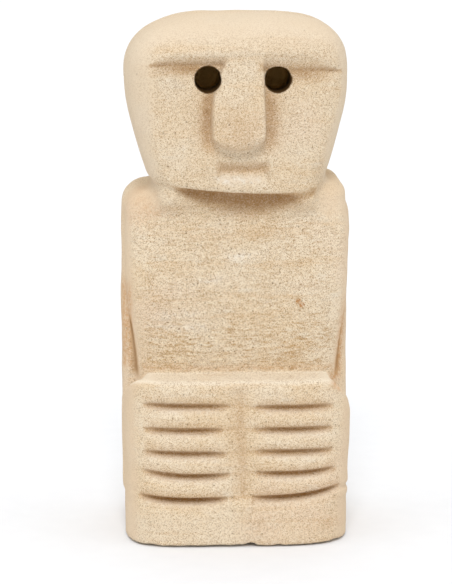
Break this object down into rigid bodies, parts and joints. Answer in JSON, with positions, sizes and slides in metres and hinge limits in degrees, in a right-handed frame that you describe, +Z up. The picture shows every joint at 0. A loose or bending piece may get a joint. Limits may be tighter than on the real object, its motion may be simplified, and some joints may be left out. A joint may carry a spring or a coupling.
{
  "type": "tiki figure",
  "caption": "Upright carved stone figure with an overhanging domed head, drilled eyes, long flat nose, and hands folded over a broad base, standing on thin felt pads.",
  "frame": {"origin": "on the floor, below the middle of the figure's bounding box", "axes": "+Z up along the height of the figure, -Y out of the face, +X to the right of somebody facing it"},
  "size_m": [0.1306, 0.112, 0.3],
  "materials": {
    "stone": "hand-carved sandy limestone, matt and finely grained, not sealed",
    "felt": "pressed wool felt, matt, fuzzy at the cut edge"
  },
  "bodies": {
    "root": {"stone_figure": "stone", "felt_pad_front_left": "felt", "felt_pad_front_right": "felt", "felt_pad_rear_left": "felt", "felt_pad_rear_right": "felt"}
  },
  "joints": []
}
